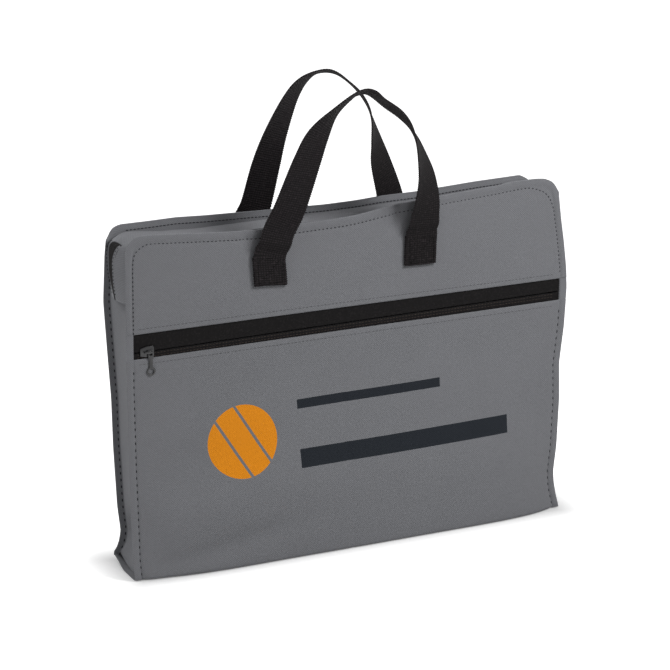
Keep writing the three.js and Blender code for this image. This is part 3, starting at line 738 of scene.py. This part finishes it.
def handle(label, way, pivot_y, slope, climb):
    """Webbing along a climb of (x, z, turn in degrees), from its left tab to its right one."""
    inner, outer = pivot_y - 1.95, pivot_y - 0.45
    first, last = climb[0], climb[-1]
    between = (inner + outer) / 2
    points = [(first[0], inner, TAB_TOP, 0), (first[0] + 0.8, inner, TAB_MIDDLE, 0),
              (first[0] + 1.3, inner, TAB_LOW + 0.6, 0), (first[0] + 1.3, between, TAB_LOW - 0.35, 0),
              (first[0] + 1.3, outer, TAB_LOW + 0.6, 0), (first[0] + 0.8, outer, TAB_MIDDLE, 0)]
    for px, pz, turn in climb:
        points.append((px, outer + slope * max(pz - 266, 0) + 0.4 * float(ease((pz - 258) / 10)), pz, turn))
    points += [(last[0] - 0.6, outer, TAB_MIDDLE, 180), (last[0] - 1, outer, TAB_LOW + 0.6, 180),
               (last[0] - 1, between, TAB_LOW - 0.35, 180), (last[0] - 1, inner, TAB_LOW + 0.6, 180),
               (last[0] - 0.6, inner, TAB_MIDDLE, 180), (last[0], inner, TAB_TOP, 180)]
    line = np.array(points, float)
    order = np.stack([line[:, 0], line[:, 2], line[:, 1], line[:, 3]], -1)
    fine = smooth_path(order, step=STRAP_STEP)
    foot_bend = 2.1 * np.exp(-((fine[:, 1] - 275.5) / 5) ** 2) - 0.75 * np.exp(-((fine[:, 1] - 268.4) / 1.7) ** 2)
    fine[:, 2] += foot_bend * ease((fine[:, 2] - inner - 0.5) / 0.8)
    centre = np.stack([fine[:, 0], way * fine[:, 2], fine[:, 1]], -1)
    along = np.gradient(centre, axis=0)
    tangent = along / np.maximum(np.linalg.norm(along, axis=1)[:, None], 1e-6)
    back = np.array([0, 1.0, 0])
    flat = np.cross(back, tangent)
    flat /= np.maximum(np.linalg.norm(flat, axis=1)[:, None], 1e-6)
    turn = np.radians(np.clip(fine[:, 3], 0, 180))[:, None]
    lower = (fine[:, 1] < 262)[:, None]
    width = flat * np.cos(turn) + back * np.sin(turn)
    tilt = np.radians(np.where(fine[:, 0] < 0, 4.5, 1.5))
    width = np.where(lower, np.stack([np.cos(tilt), 0 * tilt, -np.sin(tilt)], -1), width)
    flip = np.sign((width[1:] * width[:-1]).sum(1))
    width[1:] *= np.cumprod(np.where(flip == 0, 1, flip))[:, None]
    place = np.arange(len(centre)) * STRAP_STEP
    wave = np.sin(2 * np.pi * place / RIB)[:, None]
    face_way = np.cross(tangent, width)
    grid, pattern = [], []
    for t in np.linspace(-1, 1, 9):
        curl = 0.5 * (t * t - 0.4)
        half = STRAP_HALF + 0.3 * wave * abs(t) ** 6
        grid.append(centre + width * t * half + face_way * (0.12 * wave + curl * 0.4))
        pattern.append(np.stack([t * STRAP_HALF + 0 * place, place], -1))
    piece = cloth(f"{label}_handle_strap", np.array(grid).transpose(1, 0, 2), np.array(pattern).transpose(1, 0, 2),
                  webbing_black, thickness=1.15, offset=0)
    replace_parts(piece, f"{label}_handle", f"{label}_tab_left", f"{label}_tab_right")
    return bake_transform(piece)


handle("front", -1, 27.85, 0.249,
       [(-74.9, 262, 0), (-72.9, 270, 0), (-67.6, 287, 0), (-60.2, 305, 0), (-49, 345, 13), (-41.5, 366.5, 26),
        (-28, 385.4, 52), (-12, 398.2, 62), (-2, 399.6, 71), (8, 395, 85), (25, 382, 84), (38, 369, 95),
        (49.8, 351, 116), (58.4, 330.5, 132), (64, 312.5, 147), (66.8, 290.5, 164), (65.4, 272, 175), (65, 262, 180)])
handle("back", 1, 27.85, 0.0,
       [(-73.2, 262, 0), (-72.4, 270, 0), (-67.6, 281, 0), (-61.2, 294, 3), (-52, 325, 10), (-43, 350, 23),
        (-30, 377, 38), (-19.5, 390.6, 48), (-5.5, 398.4, 65), (5, 399, 76), (18, 393.8, 92), (33, 381, 98),
        (44, 363, 108), (50, 337, 129), (54, 318, 146), (62, 290, 160), (65, 271, 176), (65, 262, 180)])

# Sewing: lockstitch in dark grey thread along every seam, sunk a little into the cloth, so that each stitch
# shows as a short bar between its two needle holes. The tabs are sewn down with a box of black thread.
thread = {}
for thread_name, colour, dullness in (("dark_thread", (0.014, 0.014, 0.016), 0.9),
                                      ("grey_thread", (0.085, 0.086, 0.09), 0.7),
                                      ("brown_thread", (0.055, 0.042, 0.036), 0.6),
                                      ("black_thread", (0.004, 0.004, 0.004), 0.95)):
    thread[thread_name], nodes, links, shader = surface(thread_name)
    shader.inputs["Roughness"].default_value = dullness
    shader.inputs["Specular IOR Level"].default_value = 0.1
    twist = nodes.new("ShaderNodeTexNoise")
    twist.inputs["Scale"].default_value = 1800
    links.new(nodes.new("ShaderNodeTexCoord").outputs["Object"], twist.inputs["Vector"])
    mix = nodes.new("ShaderNodeMix")
    mix.data_type = "RGBA"
    links.new(twist.outputs["Fac"], mix.inputs["Factor"])
    mix.inputs["A"].default_value = (*(0.6 * c for c in colour), 1)
    mix.inputs["B"].default_value = (*(1.4 * c for c in colour), 1)
    links.new(mix.outputs["Result"], shader.inputs["Base Color"])


def seam(name, path, yarn, long=2.7, thick=0.46, pitch=6.0):
    """A row of stitches on a line of points, each a six-sided bar with pointed ends."""
    path = np.array(path, float)
    place = np.concatenate([[0], np.cumsum(np.linalg.norm(np.diff(path, axis=0), axis=1))])
    starts = np.arange(0.5, place[-1] - long - 0.5, pitch)
    verts, faces = [], []
    for start in starts:
        a, b = (np.array([np.interp(v, place, path[:, k]) for k in range(3)]) for v in (start, start + long))
        way = (b - a) / np.linalg.norm(b - a)
        one = np.cross(way, [0.3, 0.9, 0.31])
        one /= np.linalg.norm(one)
        two = np.cross(way, one)
        base = len(verts)
        for share, wide in ((0.12, 0.7), (0.35, 1), (0.65, 1), (0.88, 0.7)):
            for k in range(6):
                angle = math.pi * k / 3
                verts.append(a + (b - a) * share + thick * wide * (one * math.cos(angle) + two * math.sin(angle)))
        verts += [a, b]
        for ring in range(3):
            for k in range(6):
                n = (k + 1) % 6
                low, high = base + 6 * ring, base + 6 * ring + 6
                faces.append((low + k, low + n, high + n, high + k))
        for k in range(6):
            n = (k + 1) % 6
            faces += [(base + 24, base + n, base + k), (base + 25, base + 18 + k, base + 18 + n)]
    piece = new_piece(name, verts, faces, thread[yarn])
    bpy.ops.object.shade_smooth()
    return piece


def on_front(points, rise=0.05):
    """Lays a row of (x, z) points on the bag's front."""
    line = smooth_path(points, step=1.5)
    top = front_top(line[:, 0]) if line[:, 1].max() > 205 else None
    y = front_y(line[:, 0], line[:, 1], top) - rise
    return np.stack([spread(line[:, 0], line[:, 1], front_left_edge, front_right_edge), y, line[:, 1]], -1)


def on_back(points, rise=0.05):
    """Lays a row of (x, z) points on the bag's back."""
    line = smooth_path(points, step=1.5)
    y = back_y(line[:, 0], line[:, 1], back_top(line[:, 0])) + rise
    return np.stack([spread(line[:, 0], line[:, 1], back_left_edge, back_right_edge), y, line[:, 1]], -1)


for side, label in ((-1, "left"), (1, "right")):
    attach(seam(f"pocket_{label}_stitches", on_front([(side * 193.9, z) for z in (4, 60, 120, 186)]), "dark_thread"),
            "case")
hem_line = [(-193.8, 212), (-193.8, 250), (-193.6, 271), (-191.5, 280), (-185, 285)]
hem_line += [(t, float(front_top(t)) - HEM_STITCH) for t in range(-178, 171, 12)]
hem_line += [(178, 289.3), (187, 284.5), (192.4, 275), (193.8, 260), (193.8, 212)]
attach(seam("yoke_stitches", on_front(hem_line), "dark_thread", long=1.9, thick=0.38, pitch=3.6), "case")
rear_line = [(-193.8, 4), (-193.8, 120), (-193.8, 250), (-193.6, 269), (-191.5, 279), (-185, 284.6)]
rear_line += [(t, float(back_top(t)) - HEM_STITCH) for t in range(-178, 171, 12)]
rear_line += [(179, 282.6), (187, 279.6), (192, 271), (193.8, 258), (193.8, 120), (193.8, 4)]
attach(seam("back_stitches", on_back(rear_line), "dark_thread"), "case")
pocket_line = [(t, float(pocket_top(t)) - 4.6) for t in range(-190, 191, 20)]
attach(seam("pocket_edge_stitches", on_front(pocket_line, 0.02), "grey_thread", long=2.6, thick=0.2, pitch=3.4),
        "case")
band_line = [(t, float(band_top(t)) + 4.4) for t in range(-190, 191, 20)]
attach(seam("yoke_edge_stitches", on_front(band_line, 0.02), "grey_thread", long=2.6, thick=0.2, pitch=3.4),
        "case")
for rise, label in ((-2.0, "high"), (-4.4, "low")):
    line = [(t, TAPE_FACE - 0.06, ZIP_HEIGHT + rise) for t in range(-193, 197, 3)]
    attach(seam(f"pocket_tape_{label}_stitches", line, "brown_thread", long=2.2, thick=0.24, pitch=2.9), "case")
lip_x, down = np.arange(-184, 185, 3.0), 5.2
rim_z = back_top(lip_x)
share = np.clip(down / np.maximum(rim_z - crease_height(np.abs(lip_x)) + 1, 2), 0, 1)
y = back_y(lip_x, rim_z - TURN_IN, rim_z) - 2 * TURN_IN - 1.2 * share ** 2 - 0.7 * np.sin(np.pi * share) - 0.08
line = np.stack([spread(lip_x, rim_z - down, back_left_edge, back_right_edge), y, rim_z - down], -1)
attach(seam("back_lip_low_stitches", line, "dark_thread", long=2.6, thick=0.4, pitch=3.3), "case")
for side, label, rear_edge in ((-1, "left", back_left_edge), (1, "right", back_right_edge)):
    z = np.arange(6, 262, 3.0)
    y = back_y(side * GUSSET_X + 0 * z, z, GUSSET_TOP + 0 * z) - 1.6
    line = np.stack([rear_edge(z) - side * 4.6, y, z], -1)
    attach(seam(f"{label}_gusset_stitches", line, "dark_thread"), "case")
for way, face_name in ((-1, "front"), (1, "back")):
    for side, end in ((-1, "left"), (1, "right")):
        line = zip_path - zip_in * 0.62
        keep = zip_path[:, 1] > 238
        path = np.stack([side * line[:, 0], way * (zip_half + 2.1), line[:, 1]], -1)[keep]
        piece = seam(f"{face_name}_strip_{end}_stitches", path, "dark_thread", long=1.7, thick=0.28, pitch=3.2)
        fold_with(piece)
for way, face_name in ((-1, "front"), (1, "back")):
    for centre, end in ((-74.2, "left"), (65.2, "right")):
        x0, x1, z0, z1 = centre - 11, centre + 11, 240.5, 262
        y = way * 28.06
        box_line = [(x0, y, z0), (x1, y, z0), (x1, y, z1), (x0, y, z1), (x0, y, z0), (x1, y, z1)]
        path = np.vstack([np.linspace(a, b, 12) for a, b in zip(box_line, box_line[1:])])
        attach(seam(f"{face_name}_tab_{end}_stitches", path, "black_thread", long=2.4, thick=0.25, pitch=3.0),
                "case")
